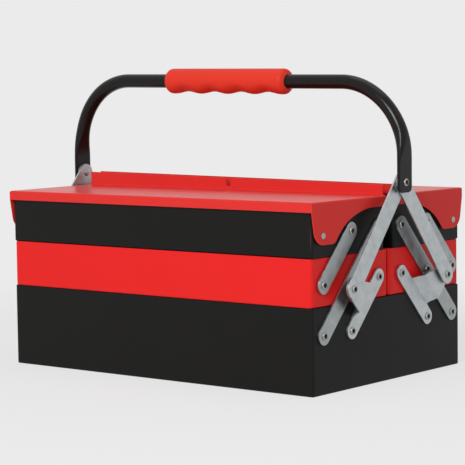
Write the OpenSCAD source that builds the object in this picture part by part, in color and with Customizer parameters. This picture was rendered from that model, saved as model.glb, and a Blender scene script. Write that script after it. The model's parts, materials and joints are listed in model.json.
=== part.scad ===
// Cantilever tool box: a sheet steel box whose four trays swing out on link arms as it opens.
// X runs along the length, Y from front to back and Z up. The origin is the middle of the base.
// Profiles of the ends are drawn as [distance out from the centre plane, height].

/* [Lower box] */
// Length of the lower box
box_l = 430; // [380:5:520]
// Depth of the lower box, front to back
box_w = 280; // [270:2:320]
// Height of the lower box
box_h = 92; // [84:1:120]
// Corner radius of the lower box
box_corner_r = 3; // [2:0.5:8]
// Thickness of the painted sheet steel
sheet = 1; // [0.8:0.1:1.4]
// Outside radius of the folds along the foot of each tray
fold_r = 1.6; // [1.5:0.1:3]
// Depth of the hem folded inwards round each rim
hem_h = 8; // [5:1:12]
// Height of the pressed panel in the floor of the lower box
floor_press = 1.5; // [0.5:0.5:3]
// Width of the flat border that the box stands on
floor_border = 16; // [10:1:30]

/* [Trays] */
// Height of a mid tray
mid_h = 51; // [46:1:60]
// Corner radius of a mid tray
mid_corner_r = 5; // [2:0.5:8]
// Distance that a mid tray stops short of each end of the lower box
mid_inset = 1; // [0:0.2:2]
// Distance that a mid tray stands proud of the lower box in front
mid_proud = 0.8; // [0:0.2:1.6]
// Gap between the two mid trays
mid_gap = 2; // [1:0.5:6]
// Height of a top tray
top_h = 57; // [54:1:70]
// Corner radius of a top tray
top_corner_r = 3; // [2:0.5:8]
// Gap between the two top trays
top_gap = 18; // [14:1:24]
// Clearance between a tray and the rim that it rests on
stack_gap = 0.2; // [0.1:0.1:0.5]

/* [Lids] */
// Clearance between a lid's sides and its tray
lid_gap = 2; // [1.4:0.2:3]
// Clearance between a lid and the rim of its tray
lid_lift = 0.3; // [0.2:0.1:0.6]
// Depth of a lid's lip
lip_h = 10.5; // [8:0.5:14]
// Radius of the bend along a lid's long edges
lid_bend_r = 2; // [1.6:0.2:3]
// Height of the upright flange along a lid's inner edge
flange_h = 12.5; // [11:0.5:18]
// Distance that the upright flange stops short of each end of its lid
flange_inset = 4.5; // [2:0.5:10]
// Diameter of the padlock hole in the flanges
padlock_d = 7.6; // [6:0.1:8]
// Depth of the padlock hole's centre below the top of its flange
padlock_drop = 5; // [4.5:0.5:6]
// Distance of a lid's pivot from the outside of its tray
lid_pivot_in = 16; // [15:0.5:20]
// Depth of a lid's pivot below the top of its lid
lid_pivot_drop = 35.4; // [33:0.2:38]
// Distance that an ear reaches below its pivot
ear_reach = 9.5; // [8:0.5:11]
// How far the ear's lower edge stays back from the face of the tray
ear_set = 0.5; // [0:0.1:2]

/* [Links] */
// Thickness of the links and of the handle's arms
link_t = 2; // [1.5:0.25:2.5]
// Width of a link
link_w = 19; // [16:0.5:20]
// Width of a lower plate's strap
plate_w = 17.5; // [16:0.5:20]
// Clearance between a link and the end of the lower box
link_gap = 0.2; // [0.1:0.1:0.5]
// Distance of the innermost pivots from the centre plane
pivot_inner = 22; // [20:0.5:25]
// Distance between neighbouring pivots of a tray
pivot_pitch = 50; // [46:0.5:51]
// Height of a mid tray's pivots above its underside
mid_pivot_up = 22.8; // [18:0.2:26]
// How much higher the pivots sit in each tray than in the tray below it
pivot_climb = 1.8; // [0:0.2:4]

/* [Handle] */
// Width of the handle's arms
arm_w = 21; // [18:0.5:22]
// Distance of an arm's lower pivot from the centre plane
arm_foot_out = 88; // [84:0.5:92]
// Height of an arm's lower pivot above the pivots of the lower box
arm_foot_up = 46.5; // [42:0.5:50]
// Height of the handle's pivot above the lids
apex_up = 13.8; // [8:0.2:20]
// Distance that the lug of a lower plate is cranked away from the box
lug_crank = 12; // [8:0.5:16]
// Diameter of the handle's tube
tube_d = 16; // [14:0.5:18]
// Wall of the handle's tube
tube_wall = 1.2; // [1:0.1:1.5]
// Radius of the tube's bends, to its centre line
bend_r = 80; // [60:5:90]
// Height of the tube above the handle's pivot
handle_rise = 109.5; // [105:0.5:140]
// Width of the tube's flattened ends
flat_w = 26; // [22:0.5:28]
// Length of the grip
grip_l = 173; // [120:1:200]
// Diameter of the grip
grip_d = 29; // [26:0.5:34]
// Distance of the grip's middle to the left of the handle's middle
grip_shift = 4; // [0:0.5:10]
// Distance between the finger ridges under the grip
finger_pitch = 39; // [24:1:39]
// Depth of the hollows between the finger ridges
finger_depth = 2.6; // [1:0.2:4]

/* [Rivets] */
// Diameter of a rivet's shank
rivet_d = 3.9; // [3.6:0.1:5]
// Diameter of a rivet's head
head_d = 8.4; // [7:0.1:9]
// Radial clearance of a link on its rivet
pivot_fit = 0.05; // [0.03:0.01:0.1]
// Clearance between faces that turn on each other
face_fit = 0.1; // [0.05:0.05:0.2]

/* [Hidden] */
$fn = 64;
// Overshoot of a cut past the face that it opens
cut = 1;
front = 1;
rear = 0;
left = 1;
right = 0;

// Heights of the stacked trays and lids
mid_z = box_h + stack_gap;
top_z = mid_z + mid_h + stack_gap;
lid_under = top_z + top_h + lid_lift;
lid_top = lid_under + sheet;

// Half sizes along the ends
mid_half_l = box_l / 2 - mid_inset;
mid_out = box_w / 2 + mid_proud;
lid_half_l = box_l / 2 + lid_gap + sheet;
lid_out = box_w / 2 + lid_gap + sheet;
flange_out = top_gap / 2 - sheet;

// Pivots, as [distance out from the centre plane, height]
link_rise = mid_h + stack_gap + pivot_climb;
mid_pivot_z = mid_z + mid_pivot_up;
base_pivot_z = mid_pivot_z - link_rise;
top_pivot_z = mid_pivot_z + link_rise;
function pivot_out(i) = pivot_inner + i * pivot_pitch;
base_pivots = [[pivot_out(1), base_pivot_z], [pivot_out(2), base_pivot_z]];
mid_pivots = [for (i = [0:2]) [pivot_out(i), mid_pivot_z]];
top_pivots = [for (i = [0:1]) [pivot_out(i), top_pivot_z]];
lid_pivot = [box_w / 2 - lid_pivot_in, lid_top - lid_pivot_drop];
arm_foot = [arm_foot_out, base_pivot_z + arm_foot_up];
apex = [0, lid_top + apex_up];

// Planes along X, counted from the middle: each is the inner face of its piece
wall_face = box_l / 2;
link_plane = wall_face + link_gap;
lug_plane = link_plane + lug_crank;
arm_step = link_t + 3 * face_fit;
front_arm_plane = lug_plane + arm_step;
rear_arm_plane = front_arm_plane + arm_step;
flat_t = 2 * tube_wall + 1;
flat_plane = rear_arm_plane + arm_step;
handle_half = flat_plane + flat_t / 2;
// How far the flat end of a leg reaches past the ends of the arms
arm_clear = 8;
// Rounded ends of the grip, its fit on the tube and half a finger ridge
grip_end_r = 5;
grip_fit = 0.1;
ridge_half = 4;
// Overlap of two shapes that make one piece
join = 0.1;

// Rivets
shank_r = rivet_d / 2;
pivot_r = shank_r + pivot_fit;
head_r = head_d / 2;
head_t = 1.4;
inner_head = [
    [0, -head_t], [head_r * 0.55, -head_t * 0.9], [head_r * 0.85, -head_t * 0.6], [head_r, 0], [shank_r, 0]
];
// Hollow in the set end of a link's rivet
hollow_r = 1.5;
hollow_depth = 2.4;
// Plain head of the rivet in a lid's ear
ear_head_r = 3.4;
// A wider gap than this has a shoulder on the rivet
shoulder_from = 0.5;
shoulder_r = shank_r + 1.2;

// Lug of a lower plate: where its edges leave the strap, counted from the mid and the base pivot
lug_top_root = 19;
lug_low_root = 12.5;
lug_fillet = 3;
lug_r = 9;
crank_start = plate_w / 2 + 1.5;
crank_end = crank_start + 8;

// Colours
red = [0.92, 0.19, 0.18];
black = [0.13, 0.13, 0.13];
zinc = [0.68, 0.71, 0.73];

// Points of an arc, from one angle to another
function arc(c, r, from, to, steps = 8) =
    [for (i = [0:steps]) let (a = from + (to - from) * i / steps) c + r * [cos(a), sin(a)]];
// Points of a curve that leaves p0 towards p1 and arrives at p2
function curve(p0, p1, p2, steps = 10) =
    [for (i = [1:steps]) let (t = i / steps) (1 - t) * (1 - t) * p0 + 2 * t * (1 - t) * p1 + t * t * p2];
function heading(v) = atan2(v[1], v[0]);
function turned(v, a) = [v[0] * cos(a) - v[1] * sin(a), v[0] * sin(a) + v[1] * cos(a)];

// Mirrors a piece drawn for the rear to the front
module half(which) {
    mirror([0, which, 0]) children();
}

// Mirrors a piece drawn for the right end to the left end
module end(which) {
    mirror([which, 0, 0]) children();
}

module both_ends() {
    for (e = [left, right]) end(e) children();
}

// Stands an end profile up at a plane along X and gives it a thickness
module from_plane(x, t) {
    translate([x, 0, 0]) rotate([90, 0, 90]) linear_extrude(t) children();
}

module rounded_rect(l, w, r) {
    square([l - 2 * r, w], center = true);
    square([l, w - 2 * r], center = true);
    for (x = [-1, 1], y = [-1, 1]) translate([x * (l / 2 - r), y * (w / 2 - r)]) circle(r);
}

// A block with round corners and a round fold along the foot of each side
module folded_block(l, w, h, r, fold) {
    intersection() {
        linear_extrude(h) rounded_rect(l, w, r);
        translate([-l / 2, 0, h]) rotate([90, 0, 90]) linear_extrude(l) rounded_rect(w, 2 * h, fold);
        translate([0, w / 2, h]) rotate([90, 0, 0]) linear_extrude(w) rounded_rect(l, 2 * h, fold);
    }
}

// An open sheet steel tray with a hem folded inwards round its rim
module open_tray(l, w, h, r) {
    difference() {
        folded_block(l, w, h, r, fold_r);
        translate([0, 0, sheet]) linear_extrude(h) rounded_rect(l - 4 * sheet, w - 4 * sheet, r - sheet);
        translate([0, 0, sheet])
            folded_block(l - 2 * sheet, w - 2 * sheet, h - hem_h - sheet, r - sheet, fold_r - sheet);
    }
}

// Holes for the rivets through both ends of a tray
module pivot_holes(pivots, half_l) {
    for (p = pivots) both_ends() from_plane(half_l - 3 * sheet, 4 * sheet) translate(p) circle(shank_r);
}

module lower_box() {
    panel_l = box_l - 2 * floor_border;
    panel_w = box_w - 2 * floor_border;
    color(black) difference() {
        union() {
            open_tray(box_l, box_w, box_h, box_corner_r);
            linear_extrude(sheet + floor_press)
                rounded_rect(panel_l + 2 * sheet, panel_w + 2 * sheet, floor_border);
        }
        translate([0, 0, -cut]) linear_extrude(cut + floor_press)
            rounded_rect(panel_l, panel_w, floor_border);
        pivot_holes(base_pivots, wall_face);
        half(front) pivot_holes(base_pivots, wall_face);
    }
}

module mid_tray() {
    w = mid_out - mid_gap / 2;
    color(red) difference() {
        translate([0, mid_gap / 2 + w / 2, mid_z]) open_tray(2 * mid_half_l, w, mid_h, mid_corner_r);
        pivot_holes(mid_pivots, mid_half_l);
    }
}

// What the underside of a lid sweeps outside its pivot: the tray's rim is cut down round there
module lid_sweep() {
    swing_r = lid_under - lid_lift - lid_pivot[1];
    translate([-box_l / 2 - cut, 0, 0]) rotate([90, 0, 90]) linear_extrude(box_l + 2 * cut)
        translate(lid_pivot) difference() {
            square([box_w / 2 - lid_pivot[0] + cut, swing_r + cut]);
            circle(r = swing_r, $fn = 180);
        }
}

module top_tray() {
    w = box_w / 2 - top_gap / 2;
    color(black) difference() {
        translate([0, top_gap / 2 + w / 2, top_z]) open_tray(box_l, w, top_h, top_corner_r);
        lid_sweep();
        pivot_holes(concat(top_pivots, [lid_pivot]), wall_face);
    }
}

// Section across a lid: upright flange, top and lip, with round bends
module lid_section() {
    r = lid_bend_r;
    translate([flange_out, lid_top + r - sheet]) square([sheet, flange_h - r + sheet]);
    translate([flange_out + r, lid_under]) square([lid_out - flange_out - 2 * r, sheet]);
    translate([lid_out - sheet, lid_top - lip_h]) square([sheet, lip_h - r]);
    translate([flange_out + r, lid_under + r]) intersection() {
        difference() { circle(r); circle(r - sheet); }
        translate([-r, -r]) square(r);
    }
    translate([lid_out - r, lid_top - r]) intersection() {
        difference() { circle(r); circle(r - sheet); }
        square(r);
    }
}

// Flap at the end of a lid: a shallow lip that sweeps down into the ear on the pivot
module lid_flap_outline() {
    ear_bottom = lid_pivot[1] - ear_reach;
    // The ear's edge slants from the lip back to the tray's face
    outer_r = 16;
    outer_c = [box_w / 2 - ear_set - outer_r, ear_bottom + outer_r];
    slant = atan((lid_out - box_w / 2 + ear_set) / (lid_top - lip_h - outer_c[1]));
    inner_r = 9;
    inner_c = [lid_pivot[0] - 16.5, ear_bottom + inner_r];
    lip_z = lid_top - lip_h - 1;
    foot = inner_c + inner_r * [cos(-135), sin(-135)];
    polygon(concat(
        [[flange_out + sheet, lid_under], [lid_out - lid_bend_r, lid_under]],
        arc([lid_out - lid_bend_r, lid_top - lid_bend_r], lid_bend_r, 90, 0, 4),
        [[lid_out, lid_top - lip_h]],
        arc(outer_c, outer_r, -slant, -90),
        arc(inner_c, inner_r, -90, -135, 4),
        curve(foot, foot + [-20, 26.4], [foot[0] - 62, lip_z]),
        [[flange_out + sheet, lip_z]]
    ));
}

module lid() {
    color(red) difference() {
        union() {
            translate([-lid_half_l, 0, 0]) rotate([90, 0, 90]) linear_extrude(2 * lid_half_l) lid_section();
            both_ends() from_plane(lid_half_l - sheet, sheet) lid_flap_outline();
        }
        both_ends() translate([lid_half_l - flange_inset, flange_out - cut, lid_top + lid_bend_r - sheet])
            cube([flange_inset + cut, sheet + 2 * cut, flange_h + cut]);
        translate([0, flange_out - cut, lid_top + flange_h - padlock_drop])
            rotate([-90, 0, 0]) cylinder(d = padlock_d, h = sheet + 2 * cut);
        both_ends() from_plane(lid_half_l - sheet - cut, sheet + 2 * cut)
            translate(lid_pivot) circle(pivot_r);
    }
}

// A flat strap with round ends between two pivots
module strap(a, b, w) {
    d = b - a;
    translate(a) rotate(heading(d)) {
        translate([0, -w / 2]) square([norm(d), w]);
        circle(d = w);
        translate([norm(d), 0]) circle(d = w);
    }
}

module link(pivots, w, plane) {
    color(zinc) difference() {
        from_plane(plane, link_t) strap(pivots[0], pivots[len(pivots) - 1], w);
        for (p = pivots) from_plane(plane - cut, link_t + 2 * cut) translate(p) circle(pivot_r);
    }
}

module long_link() {
    link([base_pivots[1], mid_pivots[1], top_pivots[0]], link_w, link_plane);
}

module upper_link() {
    link([mid_pivots[2], top_pivots[1]], link_w, link_plane);
}

module handle_arm(plane) {
    link([arm_foot, apex], arm_w, plane);
}

// Outline of a lower plate, with X from its mid pivot to its base pivot and Y outwards to the arm's foot
module lower_plate_outline(length, foot) {
    half_w = plate_w / 2;
    root_top = [lug_top_root, half_w];
    low_x = length - lug_low_root;
    low_turn = [low_x + lug_fillet, half_w + lug_fillet];
    low_way = heading(foot + [lug_r, 0] - [low_x, low_turn[1]]);
    top_way = heading(foot - root_top) + 90;
    polygon(concat(
        arc([0, 0], half_w, 90, 270, 16),
        arc([length, 0], half_w, -90, 90, 16),
        arc(low_turn, lug_fillet, -90, -180, 5),
        arc(foot, lug_r, low_way - 90, top_way, 12),
        curve(foot + lug_r * [cos(top_way), sin(top_way)], root_top + [4, 14], root_top)
    ));
}

module lower_plate() {
    run = base_pivots[0] - mid_pivots[0];
    length = norm(run);
    foot = turned(arm_foot - mid_pivots[0], -heading(run));
    color(zinc) rotate([90, 0, 90]) translate(mid_pivots[0]) rotate(heading(run)) difference() {
        intersection() {
            translate([0, 0, link_plane - cut]) linear_extrude(lug_crank + link_t + 2 * cut)
                lower_plate_outline(length, foot);
            crank_section(length);
        }
        for (x = [0, length]) translate([x, 0, link_plane - cut]) cylinder(r = pivot_r, h = link_t + 2 * cut);
        translate([foot[0], foot[1], lug_plane - cut]) cylinder(r = shank_r, h = link_t + 2 * cut);
    }
}

// The sheet of a lower plate, cranked outwards between its strap and its lug
module crank_section(length) {
    slope_shift = link_t * (sqrt(pow(lug_crank, 2) + pow(crank_end - crank_start, 2))
        - (crank_end - crank_start)) / lug_crank;
    reach = arm_foot_out;
    translate([-plate_w, 0, 0]) rotate([90, 0, 90]) linear_extrude(length + 2 * plate_w) polygon([
        [-plate_w, link_plane], [crank_start, link_plane], [crank_end, lug_plane], [reach, lug_plane],
        [reach, lug_plane + link_t], [crank_end - slope_shift, lug_plane + link_t],
        [crank_start - slope_shift, link_plane + link_t], [-plate_w, link_plane + link_t]
    ]);
}

// Set end of a rivet above its neck: rolled over round a hollow, or a plain low dome
function hollow_end(top) = [
    [shank_r, top], [head_r, top], [head_r, top + head_t * 0.4], [head_r * 0.86, top + head_t * 0.85],
    [head_r * 0.66, top + head_t], [hollow_r, top + head_t * 0.75],
    [hollow_r * 0.9, top + head_t - hollow_depth], [0, top + head_t - hollow_depth]
];
function plain_end(top) = [
    [shank_r, top], [ear_head_r, top], [ear_head_r, top + head_t * 0.3],
    [ear_head_r * 0.85, top + head_t * 0.62], [ear_head_r * 0.5, top + head_t * 0.85], [0, top + head_t * 0.9]
];

// A rivet from an inner face at height 0, through a wall, a gap and the piece that turns on it
module rivet(wall, gap, piece, plain = false) {
    start = wall + gap;
    top = start + piece + face_fit;
    shoulder = gap > shoulder_from ? [[shank_r, wall], [shoulder_r, wall], [shoulder_r, start - face_fit],
        [shank_r, start - face_fit]] : [];
    rotate_extrude() polygon(concat(inner_head, shoulder, plain ? plain_end(top) : hollow_end(top)));
}

// Rivets of one half at both ends, from the inner face at a plane along X
module rivets(pivots, plane, wall, gap, piece, plain = false) {
    color(zinc) both_ends() for (p = pivots)
        translate([plane, p[0], p[1]]) rotate([0, 90, 0]) rivet(wall, gap, piece, plain);
}

module base_rivets() {
    for (h = [front, rear]) half(h) rivets(base_pivots, wall_face - sheet, sheet, link_gap, link_t);
}

module mid_rivets() {
    rivets(mid_pivots, mid_half_l - sheet, sheet, mid_inset + link_gap, link_t);
}

module top_rivets() {
    rivets(top_pivots, wall_face - sheet, sheet, link_gap, link_t);
}

module lid_rivets() {
    rivets([lid_pivot], wall_face - sheet, sheet, lid_gap, sheet, plain = true);
}

// Inner half of the pin at an arm's foot, set in the lug
module lug_rivets() {
    color(zinc) both_ends() translate([lug_plane, arm_foot[0], arm_foot[1]]) rotate([0, 90, 0])
        rotate_extrude() polygon(concat(inner_head, [[shank_r, link_t], [0, link_t]]));
}

// Outer half of the pin at an arm's foot, with the spacer that a far arm stands on
module arm_rivets(plane) {
    start = lug_plane + link_t + face_fit;
    spacer = plane - start - face_fit;
    foot = spacer > shoulder_from ? [[0, 0], [shoulder_r, 0], [shoulder_r, spacer], [shank_r, spacer]]
        : [[0, 0], [shank_r, 0]];
    color(zinc) both_ends() translate([start, arm_foot[0], arm_foot[1]]) rotate([0, 90, 0])
        rotate_extrude() polygon(concat(foot, hollow_end(plane - start + link_t + face_fit)));
}

module handle_rivets() {
    start = front_arm_plane - face_fit;
    color(zinc) both_ends() translate([start, apex[0], apex[1]]) rotate([0, 90, 0])
        rivet(0, 0, flat_plane + flat_t - start);
}

// Runs along the handle's tube from the middle to where the right leg starts to flatten
module tube_run(r) {
    straight = handle_half - bend_r;
    translate([0, 0, apex[1] + handle_rise]) rotate([0, 90, 0]) cylinder(r = r, h = straight);
    translate([straight, 0, apex[1] + handle_rise - bend_r]) rotate([90, 0, 0])
        rotate_extrude(angle = 90) translate([bend_r, 0]) circle(r);
}

// The stretch of a leg that turns from round to flat, between two heights
module tube_taper(top, low) {
    hull() {
        translate([handle_half, 0, top]) cylinder(r = tube_d / 2 - join, h = join, $fn = 32);
        translate([handle_half, 0, low]) linear_extrude(join) {
            square([flat_t - join, flat_w - flat_t], center = true);
            for (y = [-1, 1]) translate([0, y * (flat_w - flat_t) / 2]) circle(d = flat_t - join, $fn = 16);
        }
    }
}

// The pressed end of a leg, with its lower corners rounded
module tube_flat(top) {
    end_below = 11;
    end_r = 6;
    low = apex[1] - end_below;
    from_plane(flat_plane, flat_t) {
        translate([-flat_w / 2, low + end_r]) square([flat_w, top - low - end_r]);
        translate([end_r - flat_w / 2, low]) square([flat_w - 2 * end_r, 2 * end_r]);
        for (y = [-1, 1]) translate([y * (flat_w / 2 - end_r), low + end_r]) circle(end_r);
    }
}

module handle_tube() {
    leg_top = apex[1] + handle_rise - bend_r;
    flat_top = apex[1] + arm_w / 2 + arm_clear;
    // The hollow tube breathes through a small hole under its grip
    vent_d = 3;
    color(black) difference() {
        both_ends() {
            tube_run(tube_d / 2);
            tube_taper(leg_top, flat_top);
            tube_flat(flat_top + join);
        }
        both_ends() {
            tube_run(tube_d / 2 - tube_wall);
            from_plane(flat_plane - cut, flat_t + 2 * cut) translate(apex) circle(pivot_r);
        }
        translate([0, 0, apex[1] + handle_rise - tube_d]) cylinder(d = vent_d, h = tube_d);
    }
}

// A round grip with soft ends and hollows between the finger ridges below
module handle_grip() {
    r = grip_d / 2;
    bore_r = tube_d / 2 + grip_fit;
    // Radius of the round dip that is finger_depth deep and leaves a ridge at both sides
    dip_half = finger_pitch / 2 - ridge_half;
    dip_r = (pow(dip_half, 2) + pow(finger_depth, 2)) / (2 * finger_depth);
    color("orangered") translate([-grip_shift, 0, apex[1] + handle_rise]) difference() {
        rotate([0, 90, 0]) rotate_extrude() polygon(concat(
            [[bore_r, -grip_l / 2]],
            arc([r - grip_end_r, grip_end_r - grip_l / 2], grip_end_r, -90, 0),
            arc([r - grip_end_r, grip_l / 2 - grip_end_r], grip_end_r, 0, 90),
            [[bore_r, grip_l / 2]]
        ));
        for (i = [-1.5:1.5]) translate([i * finger_pitch, 0, finger_depth - r - dip_r])
            rotate([90, 0, 0]) cylinder(r = dip_r, h = grip_d + 2 * cut, center = true, $fn = 128);
    }
}

lower_box();
half(front) mid_tray();  // front_mid_tray
half(rear) mid_tray();  // rear_mid_tray
half(front) top_tray();  // front_top_tray
half(rear) top_tray();  // rear_top_tray
half(front) lid();  // front_lid
half(rear) lid();  // rear_lid
half(front) end(left) lower_plate();  // front_left_lower_plate
half(front) end(right) lower_plate();  // front_right_lower_plate
half(rear) end(left) lower_plate();  // rear_left_lower_plate
half(rear) end(right) lower_plate();  // rear_right_lower_plate
half(front) end(left) long_link();  // front_left_long_link
half(front) end(right) long_link();  // front_right_long_link
half(rear) end(left) long_link();  // rear_left_long_link
half(rear) end(right) long_link();  // rear_right_long_link
half(front) end(left) upper_link();  // front_left_upper_link
half(front) end(right) upper_link();  // front_right_upper_link
half(rear) end(left) upper_link();  // rear_left_upper_link
half(rear) end(right) upper_link();  // rear_right_upper_link
half(front) end(left) handle_arm(front_arm_plane);  // front_left_handle_arm
half(front) end(right) handle_arm(front_arm_plane);  // front_right_handle_arm
half(rear) end(left) handle_arm(rear_arm_plane);  // rear_left_handle_arm
half(rear) end(right) handle_arm(rear_arm_plane);  // rear_right_handle_arm
handle_tube();
handle_grip();
handle_rivets();
base_rivets();
half(front) mid_rivets();  // front_mid_rivets
half(rear) mid_rivets();  // rear_mid_rivets
half(front) top_rivets();  // front_top_rivets
half(rear) top_rivets();  // rear_top_rivets
half(front) lid_rivets();  // front_lid_rivets
half(rear) lid_rivets();  // rear_lid_rivets
half(front) lug_rivets();  // front_lug_rivets
half(rear) lug_rivets();  // rear_lug_rivets
half(front) arm_rivets(front_arm_plane);  // front_arm_rivets
half(rear) arm_rivets(rear_arm_plane);  // rear_arm_rivets
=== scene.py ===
# Cantilever tool box in red and black powder coated sheet steel,
# with zinc plated links and a tube handle. Every length is in metres.
import json
import math

import bmesh
import bpy
from mathutils import Matrix, Vector

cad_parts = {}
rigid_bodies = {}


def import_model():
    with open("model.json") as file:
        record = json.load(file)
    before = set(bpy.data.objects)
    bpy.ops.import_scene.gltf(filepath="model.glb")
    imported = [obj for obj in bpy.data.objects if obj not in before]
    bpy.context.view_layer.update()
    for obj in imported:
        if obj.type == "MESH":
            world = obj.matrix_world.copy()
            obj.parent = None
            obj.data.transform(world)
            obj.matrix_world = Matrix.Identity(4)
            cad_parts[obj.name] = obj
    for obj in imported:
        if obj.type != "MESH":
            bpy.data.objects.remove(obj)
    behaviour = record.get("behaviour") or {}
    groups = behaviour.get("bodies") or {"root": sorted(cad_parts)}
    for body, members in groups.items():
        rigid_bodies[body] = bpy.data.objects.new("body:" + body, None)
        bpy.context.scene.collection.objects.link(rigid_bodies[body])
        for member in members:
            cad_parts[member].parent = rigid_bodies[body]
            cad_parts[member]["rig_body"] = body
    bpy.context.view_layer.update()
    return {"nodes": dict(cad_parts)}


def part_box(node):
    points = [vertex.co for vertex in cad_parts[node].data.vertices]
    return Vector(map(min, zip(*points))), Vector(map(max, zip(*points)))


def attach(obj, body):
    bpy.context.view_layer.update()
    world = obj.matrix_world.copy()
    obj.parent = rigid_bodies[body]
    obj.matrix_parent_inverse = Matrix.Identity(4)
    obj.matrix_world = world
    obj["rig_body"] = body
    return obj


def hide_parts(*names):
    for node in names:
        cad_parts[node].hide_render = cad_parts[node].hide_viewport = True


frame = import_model()

MM = 0.001

# Sheet steel
SHEET = 1.0 * MM
HEM_H = 8.0 * MM
FOLD_R = 1.6 * MM
FLOOR_BORDER = 16.0 * MM
FLOOR_PRESS = 1.5 * MM
RIM_ROLL_R = 0.85 * SHEET
CORNER_STEPS = 6
FOLD_STEPS = 4
PRESS_STEPS = 3
LOWER_CORNER_R = 3.0 * MM
MID_CORNER_R = 5.0 * MM
TOP_CORNER_R = 3.0 * MM

# Lids
LIP_H = 10.5 * MM
LID_BEND_R = 2.0 * MM
FLANGE_BEND_R = 1.1 * MM
FLANGE_H = 12.5 * MM
FLANGE_INSET = 4.5 * MM
FLANGE_RISE = 0.8 * MM
FLANGE_FALL = 2.2 * MM
FLANGE_BEND_STEPS = 3
PADLOCK_R = 3.8 * MM
PADLOCK_DROP = 5.0 * MM
PIVOT_IN = 19.0 * MM
TRAY_PIVOT_IN = 16.0 * MM
PIVOT_BELOW_RIM = 34.1 * MM
EAR_OUTER_R = 16.0 * MM
EAR_SET = 3.5 * MM
EAR_INNER_R = 9.0 * MM
EAR_INNER_IN = 16.5 * MM
EAR_SWEEP = 62.0 * MM
EAR_CONTROL = (20.0 * MM, 26.4 * MM)
EAR_FOOT_ANGLE = -135
EAR_STEPS = (16, 5, 10)
FLAP_BLANK = 10.0 * MM
SWEEP_END_ANGLE = 57
SWEEP_STEPS = 12

# Handle
TUBE_R = 8.0 * MM
BEND_R = 80.0 * MM
FLAT_T = 3.4 * MM
FLAT_END_R = 6.0 * MM
PRESS_START = 30.0 * MM
PRESS_END = 12.0 * MM
TUBE_SIDES = 48
STRAIGHT_STEPS = 4
BEND_STEPS = 28
LEG_STEPS = 34
SET_FROM = 238.0 * MM
SET_DOWN = 2.3 * MM
SET_LEFT = 1.5 * MM
GRIP_END_R = 6.0 * MM
GRIP_CLEAR = 0.3 * MM
GRIP_SKIN = 1.0 * MM
GRIP_SIDES = 64
GRIP_RINGS = 110
GRIP_HOLLOWS = 4
HOLLOW_PITCH = 39.0 * MM
HOLLOW_DEPTH = 2.6 * MM

# Links
PUNCHED_EDGE = 0.35 * MM
PUNCHED_STEPS = 2
HOLLOW_R = 2.6 * MM
HOLLOW_REACH = 2.6 * MM

# Grain of the finishes
HANDLING_PATCH = 70.0 * MM
PEEL_DEPTH = 0.05 * MM
ZINC_CLOUD = 9.0 * MM
ROLLING_GRAIN = 0.8 * MM
ROLLING_DEPTH = 0.05 * MM
SETTING_MARK = 1.5 * MM
# Patch size of the painted shade in the rivet hollows
HOLLOW_SHADE_PATCH = 2.0 * MM
MOULD_GRAIN = 1.2 * MM
MOULD_DEPTH = 0.1 * MM

# Modelling
SHEET_CREASE = 35
FOLD_CREASE = 30
ROUND_CREASE = 40
PUNCHED_CREASE = 50
NEAR = 0.01 * MM
CUT_PAST = 5.0 * MM
CUT_FAR = 20.0 * MM


def deselect():
    if bpy.context.object and bpy.context.object.mode == "EDIT":
        bpy.ops.object.mode_set(mode="OBJECT")
    bpy.ops.object.select_all(action="DESELECT")


def pick_up(piece):
    """Makes a piece the only selected and active object."""
    deselect()
    piece.select_set(True)
    bpy.context.view_layer.objects.active = piece


def named(name):
    """Names the object that an operator has just added, and returns it."""
    piece = bpy.context.object
    piece.name = name
    piece.data.name = name
    return piece


def block(name, low, high):
    """A cube primitive between two corners."""
    deselect()
    low, high = Vector(low), Vector(high)
    bpy.ops.mesh.primitive_cube_add(size=1, location=(low + high) / 2)
    piece = named(name)
    piece.scale = high - low
    bpy.ops.object.transform_apply(location=True, rotation=True, scale=True)
    return piece


def edit(piece):
    pick_up(piece)
    bpy.ops.object.mode_set(mode="EDIT")


def done():
    bpy.ops.object.mode_set(mode="OBJECT")


def choose(kind, test):
    """Selects the faces or edges that pass a test, in edit mode."""
    bpy.ops.mesh.select_mode(type=kind)
    bpy.ops.mesh.select_all(action="DESELECT")
    mesh = bmesh.from_edit_mesh(bpy.context.object.data)
    for part in [part for part in {"FACE": mesh.faces, "EDGE": mesh.edges}[kind] if test(part)]:
        part.select_set(True)
    mesh.select_flush_mode()
    bmesh.update_edit_mesh(bpy.context.object.data)


def at_height(z):
    """Test for a face or edge that lies at one height."""
    return lambda part: all(abs(v.co.z - z) < NEAR for v in part.verts)


def bevel(width, segments):
    bpy.ops.mesh.bevel(
        offset=width, segments=segments, affect="EDGES", offset_type="OFFSET", clamp_overlap=True)


def extrude(x=0, y=0, z=0):
    bpy.ops.mesh.extrude_region_move(TRANSFORM_OT_translate={"value": (x, y, z)})


def modify(piece, kind, **settings):
    """Adds a modifier and applies it at once."""
    pick_up(piece)
    modifier = piece.modifiers.new(kind.title(), kind)
    for key, value in settings.items():
        setattr(modifier, key, value)
    bpy.ops.object.modifier_apply(modifier=modifier.name)


def turn_out(piece):
    """Merges doubles and points every face outwards."""
    edit(piece)
    bpy.ops.mesh.select_all(action="SELECT")
    bpy.ops.mesh.remove_doubles(threshold=NEAR)
    bpy.ops.mesh.normals_make_consistent(inside=False)
    done()


def smooth(piece, angle=SHEET_CREASE):
    """Smooth shading that leaves the large flat faces flat up to their soft edges."""
    pick_up(piece)
    bpy.ops.object.shade_smooth_by_angle(angle=math.radians(angle))
    modify(piece, "WEIGHTED_NORMAL", keep_sharp=True, weight=100)


def finish_piece(piece, material, slot, body, *nodes):
    """Gives a piece its finish and its body, and puts it in the place of its CAD nodes; the slot is not
    used.
    """
    if piece.data.materials:
        piece.data.materials[0] = material
    else:
        piece.data.materials.append(material)
    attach(piece, body)
    if nodes:
        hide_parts(*nodes)


# Trays

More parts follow.
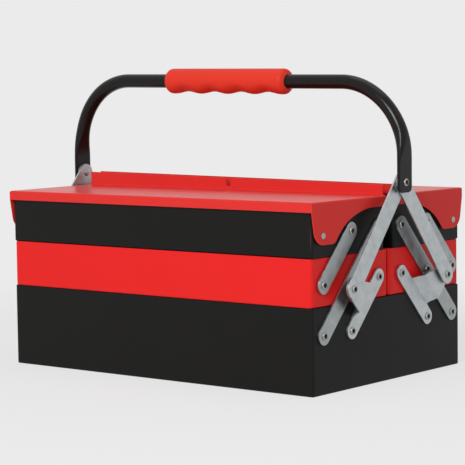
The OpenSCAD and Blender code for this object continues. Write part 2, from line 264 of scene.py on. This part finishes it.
def sheet_tray(name, node, corner_r, pressed=False):
    """An open tray: round corners, soft folds under it, and a hem turned in round a rolled rim."""
    low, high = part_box(node)
    tray = block(name, low, high)
    edit(tray)
    choose("EDGE", lambda e: abs(e.verts[0].co.z - e.verts[1].co.z) > NEAR)
    bevel(corner_r, CORNER_STEPS)
    choose("EDGE", at_height(low.z))
    bevel(FOLD_R, FOLD_STEPS)
    choose("FACE", lambda f: at_height(high.z)(f) and f.normal.z > 0.9)
    bpy.ops.mesh.inset(thickness=2 * SHEET, use_even_offset=True)
    extrude(z=-HEM_H)
    extrude()
    length, width = high.x - low.x, high.y - low.y
    out_to_wall = ((length - 2 * SHEET) / (length - 4 * SHEET), (width - 2 * SHEET) / (width - 4 * SHEET), 1)
    below_hem = ((low.x + high.x) / 2, (low.y + high.y) / 2, high.z - HEM_H)
    bpy.ops.transform.resize(value=out_to_wall, center_override=below_hem)
    extrude(z=HEM_H + SHEET + low.z - high.z)
    if pressed:
        bpy.ops.mesh.inset(thickness=FLOOR_BORDER - 2 * SHEET, use_even_offset=True)
        extrude(z=FLOOR_PRESS)
        choose("EDGE", at_height(low.z + SHEET + FLOOR_PRESS))
        bevel(SHEET, PRESS_STEPS)
        choose("FACE", lambda f: at_height(low.z)(f) and f.normal.z < -0.9)
        bpy.ops.mesh.inset(thickness=FLOOR_BORDER - FOLD_R, use_even_offset=True)
        extrude(z=FLOOR_PRESS)
        choose("EDGE", at_height(low.z + FLOOR_PRESS))
        bevel(SHEET, PRESS_STEPS)
    choose("EDGE", lambda e: at_height(high.z)(e) and any(abs(f.normal.z) < 0.3 for f in e.link_faces))
    bevel(RIM_ROLL_R, PRESS_STEPS)
    done()
    turn_out(tray)
    smooth(tray)
    return tray


def clear_lid_sweep(tray, node, side):
    """Cuts a top tray's outer rim down along the arc that its lid's underside sweeps round the pivot."""
    low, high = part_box(node)
    out = max(abs(low.y), abs(high.y))
    pivot = (out - TRAY_PIVOT_IN, high.z - PIVOT_BELOW_RIM)
    arc = arc_points(pivot, PIVOT_BELOW_RIM, 90, SWEEP_END_ANGLE, SWEEP_STEPS)
    above_rim = high.z + SHEET
    outline = [(side * y, z) for y, z in [(pivot[0], above_rim), *arc, (arc[-1][0], above_rim)]]
    cut_away(tray, prism("lid_sweep", outline, low.x - SHEET, high.x - low.x + 2 * SHEET))
    turn_out(tray)
    smooth(tray)


# Lids

def arc_points(centre, radius, start, end, steps):
    """Points of an arc from one angle to another, in degrees."""
    return [(centre[0] + radius * math.cos(math.radians(start + (end - start) * i / steps)),
             centre[1] + radius * math.sin(math.radians(start + (end - start) * i / steps)))
            for i in range(steps + 1)]


def swept_curve(a, control, b, steps):
    """Points of a quadratic curve from a to b."""
    points = []
    for i in range(1, steps + 1):
        t = i / steps
        points.append(tuple(
            (1 - t) ** 2 * p + 2 * t * (1 - t) * c + t * t * q for p, c, q in zip(a, control, b)))
    return points


def prism(name, outline, start, length):
    """A solid with an outline of (y, z) points, extruded along X."""
    deselect()
    curve = bpy.data.curves.new(name, "CURVE")
    curve.dimensions = "2D"
    curve.fill_mode = "BOTH"
    curve.extrude = length / 2
    spline = curve.splines.new("POLY")
    spline.points.add(len(outline) - 1)
    spline.use_cyclic_u = True
    for point, (y, z) in zip(spline.points, outline):
        point.co = (y, z, 0, 1)
    solid = bpy.data.objects.new(name, curve)
    bpy.context.scene.collection.objects.link(solid)
    pick_up(solid)
    bpy.ops.object.convert(target="MESH")
    solid = bpy.context.object
    solid.matrix_world = Matrix((
        (0, 0, 1, start + length / 2),
        (1, 0, 0, 0),
        (0, 1, 0, 0),
        (0, 0, 0, 1),
    ))
    bpy.ops.object.transform_apply(location=True, rotation=True, scale=True)
    turn_out(solid)
    return solid


def cylinder(name, radius, start, end, vertices=48):
    """A closed cylinder from one point to another."""
    deselect()
    start, end = Vector(start), Vector(end)
    way = end - start
    bpy.ops.mesh.primitive_cylinder_add(
        vertices=vertices, radius=radius, depth=way.length, location=(start + end) / 2,
        rotation=way.to_track_quat("Z", "Y").to_euler())
    bpy.ops.object.transform_apply(location=True, rotation=True, scale=True)
    return named(name)


def cut_away(piece, *cutters):
    """Cuts each cutter's shape out of a piece, and deletes the cutter."""
    for cutter in cutters:
        modify(piece, "BOOLEAN", object=cutter, operation="DIFFERENCE", solver="EXACT")
        bpy.data.objects.remove(cutter)


def below_flap(low, high):
    """Outline in (y, z) of what is cut away below a lid's end flap, which sweeps from its lip to an ear."""
    lip_bottom = high.z - FLANGE_H - LIP_H
    flap_z = lip_bottom - SHEET
    sweep_steps, inner_steps, outer_steps = EAR_STEPS
    inner = (high.y - PIVOT_IN - EAR_INNER_IN, low.z + EAR_INNER_R)
    outer = (high.y - EAR_SET - EAR_OUTER_R, low.z + EAR_OUTER_R)
    slant = math.degrees(math.atan(EAR_SET / (lip_bottom - outer[1])))
    rounded = arc_points(inner, EAR_INNER_R, EAR_FOOT_ANGLE, -90, inner_steps)
    foot = rounded[0]
    sweep_start = (foot[0] - EAR_SWEEP, flap_z)
    control = (foot[0] - EAR_CONTROL[0], foot[1] + EAR_CONTROL[1])
    return [
        (low.y - CUT_FAR, flap_z),
        sweep_start,
        *swept_curve(sweep_start, control, foot, sweep_steps),
        *rounded[1:],
        *arc_points(outer, EAR_OUTER_R, -90, -slant, outer_steps),
        (high.y, lip_bottom),
        (high.y + CUT_FAR, lip_bottom),
        (high.y + CUT_FAR, low.z - CUT_FAR),
        (low.y - CUT_FAR, low.z - CUT_FAR),
    ]


def sheet_lid(name, node, mirrored):
    """A lid folded from one sheet: flange, top, lip and two ears, with bends along each fold."""
    low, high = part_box(node)
    if mirrored:
        low, high = Vector((low.x, -high.y, low.z)), Vector((high.x, -low.y, high.z))
    lid_top = high.z - FLANGE_H
    lip_bottom = lid_top - LIP_H
    inner_y = low.y + SHEET
    flange_x = high.x - FLANGE_INSET

    def along_inner_edge(edge):
        return all(abs(v.co.y - inner_y) < NEAR for v in edge.verts)

    def under_flange(edge):
        return (at_height(lid_top)(edge) and along_inner_edge(edge)
                and all(abs(v.co.x) < flange_x + NEAR for v in edge.verts))

    lid = block(name, (low.x, inner_y, low.z - FLAP_BLANK), (high.x, high.y, lid_top))
    edit(lid)
    choose("FACE", lambda f: f.normal.z < -0.9 or f.normal.y < -0.9)
    bpy.ops.mesh.delete(type="FACE")
    choose("EDGE", lambda e: at_height(lid_top)(e) and not along_inner_edge(e))
    bevel(LID_BEND_R, FOLD_STEPS)
    for side in (low.x + FLANGE_INSET, flange_x):
        bpy.ops.mesh.select_all(action="SELECT")
        bpy.ops.mesh.bisect(plane_co=(side, 0, 0), plane_no=(1, 0, 0))
    choose("EDGE", under_flange)
    extrude(z=FLANGE_H)
    choose("EDGE", under_flange)
    bevel(FLANGE_BEND_R, FLANGE_BEND_STEPS)
    bpy.ops.mesh.select_all(action="SELECT")
    bpy.ops.mesh.normals_make_consistent(inside=False)
    done()
    modify(lid, "SOLIDIFY", thickness=SHEET, offset=-1, use_even_offset=True)

    flap_x = high.x - SHEET
    below_lip = block("below_lip", (-flap_x, high.y - CUT_PAST, low.z - CUT_FAR),
                      (flap_x, high.y + CUT_PAST, lip_bottom))
    below_ears = prism("below_ears", below_flap(low, high), low.x - CUT_PAST, 2 * (high.x + CUT_PAST))
    hole_z = high.z - PADLOCK_DROP
    padlock = cylinder("padlock", PADLOCK_R, (0, low.y - CUT_PAST, hole_z), (0, low.y + CUT_PAST, hole_z))
    cut_away(lid, below_lip, below_ears, padlock)

    # The real flange stands a little high at its left end and runs downhill to the right
    for vertex in lid.data.vertices:
        above = (vertex.co.z - lid_top) / FLANGE_H
        if above > 0:
            vertex.co.z += above * (FLANGE_RISE - FLANGE_FALL * vertex.co.x / high.x)
    if mirrored:
        pick_up(lid)
        lid.scale = (1, -1, 1)
        bpy.ops.object.transform_apply(location=True, rotation=True, scale=True)
    turn_out(lid)
    smooth(lid, FOLD_CREASE)
    return lid


# Links

def punched_plate(name, node):
    """A copy of a punched steel piece with the soft edges that tumbling and plating leave."""
    source = frame["nodes"][node]
    plate = bpy.data.objects.new(name, source.data.copy())
    bpy.context.scene.collection.objects.link(plate)
    edit(plate)
    bpy.ops.mesh.select_all(action="SELECT")
    bpy.ops.mesh.remove_doubles(threshold=NEAR)
    bpy.ops.mesh.dissolve_limited(angle_limit=math.radians(1))
    done()
    if plate.data.has_custom_normals:
        pick_up(plate)
        bpy.ops.mesh.customdata_custom_splitnormals_clear()
    modify(plate, "BEVEL", width=PUNCHED_EDGE, segments=PUNCHED_STEPS, limit_method="ANGLE",
           angle_limit=math.radians(PUNCHED_CREASE), harden_normals=False)
    smooth(plate, FOLD_CREASE)
    return plate


def hollow_rivets(name, node):
    """A copy of the rivets of one node, with rounded heads, and the hollow of each tubular rivet set apart
    for painted shade.
    """
    source = frame["nodes"][node]
    rivets = bpy.data.objects.new(name, source.data.copy())
    bpy.context.scene.collection.objects.link(rivets)
    turn_out(rivets)
    mesh = bmesh.new()
    mesh.from_mesh(rivets.data)
    todo = set(mesh.faces)
    while todo:
        rivet, reached = set(), [todo.pop()]
        while reached:
            face = reached.pop()
            rivet.add(face)
            for edge in face.edges:
                for other in edge.link_faces:
                    if other in todo:
                        todo.remove(other)
                        reached.append(other)
        corners = {v for f in rivet for v in f.verts}
        axis_y = (min(v.co.y for v in corners) + max(v.co.y for v in corners)) / 2
        axis_z = (min(v.co.z for v in corners) + max(v.co.z for v in corners)) / 2
        head_x = max(abs(v.co.x) for v in corners)
        for face in rivet:
            centre = face.calc_center_median()
            near_axis = math.hypot(centre.y - axis_y, centre.z - axis_z) < HOLLOW_R
            near_head = abs(centre.x) > head_x - HOLLOW_REACH
            # The faces of the hollow take the second material, which is painted shade
            face.material_index = 1 if near_axis and near_head else 0
    mesh.to_mesh(rivets.data)
    mesh.free()
    smooth(rivets, ROUND_CREASE)
    return rivets


# Handle

def ease(t):
    """Runs smoothly from 0 to 1."""
    t = min(max(t, 0), 1)
    return t * t * (3 - 2 * t)


def stadium_point(turn, width, thickness):
    """Point of a flattened tube's section at a share of its way round, as (x, y)."""
    r = thickness / 2
    side = width - thickness
    around = 2 * side + 2 * math.pi * r
    s = (turn * around) % around
    quarter = math.pi * r / 2
    if s < side / 2:
        return r, s
    s -= side / 2
    if s < 2 * quarter:
        a = s / r
        return r * math.cos(a), side / 2 + r * math.sin(a)
    s -= 2 * quarter
    if s < side:
        return -r, side / 2 - s
    s -= side
    if s < 2 * quarter:
        a = math.pi + s / r
        return r * math.cos(a), -side / 2 + r * math.sin(a)
    s -= 2 * quarter
    return r, -side / 2 + s


def bent_tube():
    """The handle's tube: straight in the grip, bent down at each end and pressed flat for its pivots."""
    low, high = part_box("handle_tube")
    tube_z = high.z - TUBE_R
    leg_x = high.x - TUBE_R
    straight = leg_x - BEND_R
    flat_w = high.y - low.y
    deselect()
    bpy.ops.mesh.primitive_circle_add(vertices=TUBE_SIDES, radius=TUBE_R, fill_type="NOTHING",
                                      location=(0, 0, tube_z), rotation=(0, math.pi / 2, 0))
    bpy.ops.object.transform_apply(location=True, rotation=True, scale=True)
    tube = named("handle_tube_bent")
    edit(tube)
    bpy.ops.mesh.select_all(action="SELECT")
    for _ in range(STRAIGHT_STEPS):
        extrude(x=straight / STRAIGHT_STEPS)
    leg_top = tube_z - BEND_R
    bpy.ops.mesh.spin(steps=BEND_STEPS, angle=math.pi / 2, center=(straight, 0, leg_top), axis=(0, -1, 0))
    step = (leg_top - low.z) / LEG_STEPS
    for _ in range(LEG_STEPS):
        extrude(z=-step)
    bpy.ops.mesh.edge_face_add()
    done()
    press_ends(tube, leg_x, leg_top, low.z, flat_w)
    modify(tube, "MIRROR", use_axis=(True, False, False), merge_threshold=NEAR)
    settle_handle(tube, tube_z, leg_x)
    turn_out(tube)
    smooth(tube, ROUND_CREASE)
    return tube


def press_ends(tube, leg_x, leg_top, bottom, flat_w):
    """Presses the lower end of a leg from a round tube to a flat tab with round corners."""
    bend_centre = Vector((leg_x - BEND_R, 0, leg_top))
    for vertex in tube.data.vertices:
        co = vertex.co
        if co.x < bend_centre.x + NEAR:
            continue
        if co.z > leg_top + NEAR:
            spoke = Vector((co.x - bend_centre.x, 0, co.z - bend_centre.z))
            way = math.atan2(spoke.z, spoke.x)
            along = -way * BEND_R
            out = Vector((math.cos(way), 0, math.sin(way)))
            centre = bend_centre + BEND_R * out
        else:
            along = leg_top - co.z
            out = Vector((1, 0, 0))
            centre = Vector((leg_x, 0, co.z))
        press = ease((along + PRESS_START) / (PRESS_START + PRESS_END))
        if press <= 0:
            continue
        turn = math.atan2(co.y, (co - centre).dot(out)) / (2 * math.pi)
        width = 2 * TUBE_R + press * (flat_w - 2 * TUBE_R)
        thickness = 2 * TUBE_R + press * (FLAT_T - 2 * TUBE_R)
        reach = co.z - bottom
        if reach < FLAT_END_R:
            corner = FLAT_END_R - math.sqrt(max(0, FLAT_END_R ** 2 - (FLAT_END_R - reach) ** 2))
            width -= 2 * corner
        x, y = stadium_point(turn, width, thickness)
        vertex.co = centre + x * out + Vector((0, y, 0))


def settle_handle(piece, tube_z, leg_x):
    """The small set that the real handle has taken: its top runs downhill to the right and sits left."""
    for vertex in piece.data.vertices:
        co = vertex.co
        share = ease((co.z - SET_FROM) / (tube_z - SET_FROM))
        co.z -= share * SET_DOWN * co.x / leg_x
        co.x -= share * SET_LEFT


def moulded_grip():
    """The soft grip: a round sleeve with rounded ends and finger hollows along its underside."""
    low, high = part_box("handle_grip")
    centre = (low + high) / 2
    radius = (high.y - low.y) / 2
    half_l = (high.x - low.x) / 2
    middle_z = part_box("handle_tube")[1].z - TUBE_R
    grip = cylinder("handle_grip_moulded", radius, (low.x, 0, middle_z), (high.x, 0, middle_z), GRIP_SIDES)
    edit(grip)
    choose("FACE", lambda f: abs(f.normal.x) > 0.9)
    bpy.ops.mesh.inset(thickness=radius - TUBE_R - GRIP_CLEAR)
    extrude()
    choose("EDGE", lambda e: abs(e.verts[0].co.x - e.verts[1].co.x) > half_l)
    bpy.ops.mesh.subdivide(number_cuts=GRIP_RINGS, smoothness=0)
    done()
    for vertex in grip.data.vertices:
        co = vertex.co
        away = Vector((0, co.y, co.z - middle_z))
        if away.length < radius - GRIP_SKIN:
            continue
        along = co.x - centre.x
        to_end = half_l - abs(along)
        shrink = 0
        if to_end < GRIP_END_R:
            shrink = GRIP_END_R - math.sqrt(max(0, GRIP_END_R ** 2 - (GRIP_END_R - to_end) ** 2))
        below = ease(-away.z / radius)
        wave = 0.5 - 0.5 * math.cos(2 * math.pi * along / HOLLOW_PITCH + math.pi * GRIP_HOLLOWS)
        if abs(along) > GRIP_HOLLOWS * HOLLOW_PITCH / 2:
            wave = 0
        hollow = HOLLOW_DEPTH * wave * below
        vertex.co = Vector((co.x, 0, middle_z)) + away.normalized() * (radius - shrink - hollow)
    settle_handle(grip, middle_z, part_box("handle_tube")[1].x - TUBE_R)
    turn_out(grip)
    smooth(grip, ROUND_CREASE)
    return grip


# Finishes

def linear(hex_colour):
    """Linear RGBA from an sRGB hex value."""
    channels = [int(hex_colour[i:i + 2], 16) / 255 for i in (1, 3, 5)]
    return tuple(c / 12.92 if c <= 0.04045 else ((c + 0.055) / 1.055) ** 2.4 for c in channels) + (1.0,)


def add_node(tree, kind, settings=None, links=None):
    """Adds a node, sets its properties and sockets, and links its inputs."""
    made = tree.nodes.new(kind)
    for key, value in (settings or {}).items():
        if hasattr(made, key):
            setattr(made, key, value)
        else:
            made.inputs[key].default_value = value
    for key, source in (links or {}).items():
        tree.links.new(source, made.inputs[key])
    return made


def new_finish(name):
    material = bpy.data.materials.new(name)
    material.use_nodes = True
    material.node_tree.nodes.clear()
    return material, material.node_tree


def powder_coat(name, colour, worn_colour, roughness, peel, bump, gloss):
    """Powder coat: baked paint with a faint orange peel, which breaks up reflections softly."""
    material, tree = new_finish(name)
    place = add_node(tree, "ShaderNodeTexCoord").outputs["Object"]
    orange_peel = add_node(tree, "ShaderNodeTexNoise",
                           {"Scale": 1 / peel, "Detail": 2.0, "Roughness": 0.5}, {"Vector": place})
    handling = add_node(tree, "ShaderNodeTexNoise",
                        {"Scale": 1 / HANDLING_PATCH, "Detail": 3.0, "Roughness": 0.6}, {"Vector": place})
    tint = add_node(tree, "ShaderNodeMix", {"data_type": "RGBA"}, {"Factor": handling.outputs["Fac"]})
    tint.inputs[6].default_value = linear(colour)
    tint.inputs[7].default_value = linear(worn_colour)
    smoothest, roughest = roughness - 0.03, roughness + 0.04
    matt = add_node(tree, "ShaderNodeMapRange",
                    {"From Min": 0.3, "From Max": 0.7, "To Min": smoothest, "To Max": roughest},
                    {"Value": handling.outputs["Fac"]})
    relief = add_node(tree, "ShaderNodeBump", {"Strength": bump, "Distance": PEEL_DEPTH},
                      {"Height": orange_peel.outputs["Fac"]})
    coat = add_node(tree, "ShaderNodeBsdfPrincipled", {"IOR": 1.5, "Specular IOR Level": gloss},
                    {"Base Color": tint.outputs[2], "Roughness": matt.outputs[0],
                     "Normal": relief.outputs[0]})
    add_node(tree, "ShaderNodeOutputMaterial", {}, {"Surface": coat.outputs[0]})
    return material


def zinc_plate(name, dark, light):
    """Zinc plating on punched steel: a cool grey, with cloudy patches and the fine grain of rolled sheet."""
    material, tree = new_finish(name)
    place = add_node(tree, "ShaderNodeTexCoord").outputs["Object"]
    clouds = add_node(tree, "ShaderNodeTexNoise",
                      {"Scale": 1 / ZINC_CLOUD, "Detail": 4.0, "Roughness": 0.55}, {"Vector": place})
    tint = add_node(tree, "ShaderNodeValToRGB", {}, {"Fac": clouds.outputs["Fac"]})
    tint.color_ramp.elements[0].position = 0.3
    tint.color_ramp.elements[0].color = linear(dark)
    tint.color_ramp.elements[1].position = 0.7
    tint.color_ramp.elements[1].color = linear(light)
    matt = add_node(tree, "ShaderNodeMapRange",
                    {"From Min": 0.3, "From Max": 0.7, "To Min": 0.36, "To Max": 0.5},
                    {"Value": clouds.outputs["Fac"]})
    grain = add_node(tree, "ShaderNodeTexNoise",
                     {"Scale": 1 / ROLLING_GRAIN, "Detail": 2.0, "Roughness": 0.5}, {"Vector": place})
    relief = add_node(tree, "ShaderNodeBump", {"Strength": 0.15, "Distance": ROLLING_DEPTH},
                      {"Height": grain.outputs["Fac"]})
    metal = add_node(tree, "ShaderNodeBsdfPrincipled", {"Metallic": 1.0},
                     {"Base Color": tint.outputs[0], "Roughness": matt.outputs[0],
                      "Normal": relief.outputs[0]})
    add_node(tree, "ShaderNodeOutputMaterial", {}, {"Surface": metal.outputs[0]})
    return material


def rivet_steel():
    """Zinc plated rivets, duller than the links where the setting tool has burnished them."""
    material, tree = new_finish("rivet_steel")
    place = add_node(tree, "ShaderNodeTexCoord").outputs["Object"]
    marks = add_node(tree, "ShaderNodeTexNoise",
                     {"Scale": 1 / SETTING_MARK, "Detail": 2.0, "Roughness": 0.5}, {"Vector": place})
    matt = add_node(tree, "ShaderNodeMapRange", {"To Min": 0.3, "To Max": 0.5},
                    {"Value": marks.outputs["Fac"]})
    metal = add_node(tree, "ShaderNodeBsdfPrincipled", {"Metallic": 1.0, "Base Color": linear("#A8A7A0")},
                     {"Roughness": matt.outputs[0]})
    add_node(tree, "ShaderNodeOutputMaterial", {}, {"Surface": metal.outputs[0]})
    return material


def shaded_hollow_finish():
    """The bore of a tubular rivet: bare steel, with painted shade in uneven patches for a hollow that lies
    out of the light.
    """
    material, tree = new_finish("rivet_hollow_painted_shade")
    place = add_node(tree, "ShaderNodeTexCoord").outputs["Object"]
    shade_patches = add_node(tree, "ShaderNodeTexNoise",
                     {"Scale": 1 / HOLLOW_SHADE_PATCH, "Detail": 2.0, "Roughness": 0.6}, {"Vector": place})
    tint = add_node(tree, "ShaderNodeValToRGB", {}, {"Fac": shade_patches.outputs["Fac"]})
    tint.color_ramp.elements[0].color = linear("#2A2B2C")
    tint.color_ramp.elements[1].color = linear("#4A4B4C")
    steel = add_node(tree, "ShaderNodeBsdfPrincipled", {"Metallic": 0.6, "Roughness": 0.55},
                     {"Base Color": tint.outputs[0]})
    add_node(tree, "ShaderNodeOutputMaterial", {}, {"Surface": steel.outputs[0]})
    return material


def soft_pvc():
    """Moulded soft PVC: orange-red, waxy, with the fine grain of a sandblasted mould."""
    material, tree = new_finish("moulded_pvc")
    place = add_node(tree, "ShaderNodeTexCoord").outputs["Object"]
    grain = add_node(tree, "ShaderNodeTexNoise",
                     {"Scale": 1 / MOULD_GRAIN, "Detail": 3.0, "Roughness": 0.6}, {"Vector": place})
    relief = add_node(tree, "ShaderNodeBump", {"Strength": 0.25, "Distance": MOULD_DEPTH},
                      {"Height": grain.outputs["Fac"]})
    soft = add_node(tree, "ShaderNodeBsdfPrincipled",
                    {"Base Color": linear("#DE3828"), "Roughness": 0.5, "Specular IOR Level": 0.15},
                    {"Normal": relief.outputs[0]})
    add_node(tree, "ShaderNodeOutputMaterial", {}, {"Surface": soft.outputs[0]})
    return material


# The lids are glossier than the trays, and the tube is the glossiest
lid_coat = powder_coat("red_lid_powder_coat", "#DF3430", "#DC322E",
                       roughness=0.3, peel=2.2 * MM, bump=0.15, gloss=0.12)
black_coat = powder_coat("black_powder_coat", "#151413", "#181716",
                         roughness=0.42, peel=1.6 * MM, bump=0.25, gloss=0.12)
red_coat = powder_coat("red_powder_coat", "#EA2422", "#E72321",
                       roughness=0.34, peel=2.2 * MM, bump=0.15, gloss=0.14)
tube_enamel = powder_coat("black_tube_enamel", "#12100F", "#171513",
                          roughness=0.2, peel=3.0 * MM, bump=0.1, gloss=0.2)
bright_zinc = zinc_plate("bright_zinc_plating", "#AEB4B7", "#C5C9CA")
# A darker copy of the zinc for the long and upper links: painted shade for the shadow that the arms and lids
# cast on them
painted_shade_zinc = zinc_plate("zinc_plating_with_painted_shade", "#979D9F", "#AEB2B3")
rivet_metal = rivet_steel()
# Painted shade for the hollows of the tubular rivets
hollow_shade = shaded_hollow_finish()
pvc = soft_pvc()


# Assembly

# The long and upper links take the zinc with painted shade
LINKS = (
    ("lower_plate", "plates", bright_zinc),
    ("long_link", "long_links", painted_shade_zinc),
    ("upper_link", "upper_links", painted_shade_zinc),
    ("handle_arm", "arms", bright_zinc),
)

finish_piece(sheet_tray("lower_box_shell", "lower_box", LOWER_CORNER_R, pressed=True),
             black_coat, "black_paint", "base", "lower_box")
for half in ("front", "rear"):
    finish_piece(sheet_tray(f"{half}_mid_tray_shell", f"{half}_mid_tray", MID_CORNER_R),
                 red_coat, "red_paint", f"{half}_mid", f"{half}_mid_tray")
    top_tray = sheet_tray(f"{half}_top_tray_shell", f"{half}_top_tray", TOP_CORNER_R)
    clear_lid_sweep(top_tray, f"{half}_top_tray", -1 if half == "front" else 1)
    finish_piece(top_tray, black_coat, "black_paint", f"{half}_top", f"{half}_top_tray")
    finish_piece(sheet_lid(f"{half}_lid_folded", f"{half}_lid", half == "front"),
                 lid_coat, "red_paint", f"{half}_lid_body", f"{half}_lid")
    for side in ("left", "right"):
        for link, body, zinc in LINKS:
            node = f"{half}_{side}_{link}"
            finish_piece(punched_plate(f"{node}_punched", node), zinc, "zinc_plate", f"{half}_{body}", node)
finish_piece(bent_tube(), tube_enamel, "handle_paint", "handle", "handle_tube")
finish_piece(moulded_grip(), pvc, "grip_plastic", "handle", "handle_grip")
for name, piece in list(frame["nodes"].items()):
    if name.endswith("lid_rivets"):
        piece.data.materials.clear()
        piece.data.materials.append(rivet_metal)
    elif name.endswith("rivets"):
        rivets = hollow_rivets(f"{name}_set", name)
        finish_piece(rivets, rivet_metal, "rivet_steel", piece["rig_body"], name)
        # The second material paints shade into each rivet's hollow
        rivets.data.materials.append(hollow_shade)


# Stage, lights and camera

BACKDROP = "#EBEBEB"
FLOOR_PAINT = "#E4E4E4"
FLOOR_NEAR = "#FAFAFA"
FLOOR_GLOW = 0.75
FLOOR_SIZE = 60
FLOOR_DROP = 0.02 * MM
GLOW_FROM, GLOW_TO = 0.35, 1.1
WORLD_SEEN, WORLD_LIGHT = 1.0, 0.42


def seen_directly(tree):
    """1 for camera and glossy rays, which see the backdrop's own tone, and 0 for the light that it gives."""
    path = add_node(tree, "ShaderNodeLightPath")
    either = add_node(tree, "ShaderNodeMath", {"operation": "MAXIMUM"},
                      {0: path.outputs["Is Camera Ray"], 1: path.outputs["Is Glossy Ray"]})
    return either.outputs[0]


def studio_world():
    """A pale backdrop that gives the object less light than it shows."""
    world = bpy.data.worlds.new("studio")
    bpy.context.scene.world = world
    world.use_nodes = True
    tree = world.node_tree
    tree.nodes.clear()
    strength = add_node(tree, "ShaderNodeMapRange", {"To Min": WORLD_LIGHT, "To Max": WORLD_SEEN},
                        {"Value": seen_directly(tree)})
    light = add_node(tree, "ShaderNodeBackground", {"Color": linear(BACKDROP)},
                     {"Strength": strength.outputs[0]})
    add_node(tree, "ShaderNodeOutputWorld", {}, {"Surface": light.outputs[0]})


def studio_floor():
    """A pale floor that keeps the object's shadow near it and runs into the backdrop's tone further out."""
    deselect()
    bpy.ops.mesh.primitive_plane_add(size=FLOOR_SIZE, location=(0, 0, -FLOOR_DROP))
    floor = named("studio_floor")
    material, tree = new_finish("pale_floor")
    place = add_node(tree, "ShaderNodeTexCoord").outputs["Object"]
    away = add_node(tree, "ShaderNodeVectorMath", {"operation": "LENGTH"}, {0: place})
    far = add_node(tree, "ShaderNodeMapRange",
                   {"From Min": GLOW_FROM, "From Max": GLOW_TO, "To Min": FLOOR_GLOW, "To Max": 1.0,
                    "interpolation_type": "SMOOTHSTEP"}, {"Value": away.outputs["Value"]})
    matt = add_node(tree, "ShaderNodeBsdfDiffuse", {"Color": linear(FLOOR_PAINT)})
    tone = add_node(tree, "ShaderNodeMix", {"data_type": "RGBA"}, {"Factor": far.outputs[0]})
    tone.inputs[6].default_value = linear(FLOOR_NEAR)
    tone.inputs[7].default_value = linear(BACKDROP)
    glow = add_node(tree, "ShaderNodeEmission", {"Strength": 1.0}, {"Color": tone.outputs[2]})
    share = add_node(tree, "ShaderNodeMath", {"operation": "MULTIPLY"},
                     {0: seen_directly(tree), 1: far.outputs[0]})
    mix = add_node(tree, "ShaderNodeMixShader", {},
                   {0: share.outputs[0], 1: matt.outputs[0], 2: glow.outputs[0]})
    add_node(tree, "ShaderNodeOutputMaterial", {}, {"Surface": mix.outputs[0]})
    floor.data.materials.append(material)


def softbox(name, place, aim, size, watts):
    light = bpy.data.lights.new(name, "AREA")
    light.shape = "RECTANGLE"
    light.size, light.size_y = size
    light.energy = watts
    lamp = bpy.data.objects.new(name, light)
    bpy.context.scene.collection.objects.link(lamp)
    lamp.location = place
    lamp.rotation_euler = (Vector(aim) - Vector(place)).to_track_quat("-Z", "Y").to_euler()


def studio_camera():
    """The photograph's viewpoint, found from the corners of the trays and lids."""
    place = Vector((1.38463, -1.71796, 0.33814))
    azimuth, descent, roll = (math.radians(a) for a in (38.905, 4.832, -0.79))
    focal_px, frame_px, sensor_mm = 1925.9, 465, 36
    level = math.cos(descent)
    ahead = Vector((-math.sin(azimuth) * level, math.cos(azimuth) * level, -math.sin(descent)))
    right = ahead.cross(Vector((0, 0, 1))).normalized()
    up = right.cross(ahead)
    side = math.cos(roll) * right + math.sin(roll) * up
    top = -math.sin(roll) * right + math.cos(roll) * up
    data = bpy.data.cameras.new("camera")
    data.sensor_width = sensor_mm
    data.lens = focal_px * sensor_mm / frame_px
    camera = bpy.data.objects.new("camera", data)
    bpy.context.scene.collection.objects.link(camera)
    turn = Matrix((side, top, -ahead)).transposed().to_4x4()
    camera.matrix_world = Matrix.Translation(place) @ turn
    bpy.context.scene.camera = camera


studio_world()
studio_floor()
softbox("key", place=(0.75, -2.35, 1.6), aim=(0, 0, 0.1), size=(1.0, 0.8), watts=50)
softbox("end_fill", place=(1.8, 0.4, 1.9), aim=(0.2, 0, 0.1), size=(1.0, 1.0), watts=1.2)
softbox("top", place=(0, 0.2, 2.4), aim=(0, 0, 0.1), size=(1.6, 1.6), watts=7)
studio_camera()
bpy.context.scene.view_settings.view_transform = "Standard"
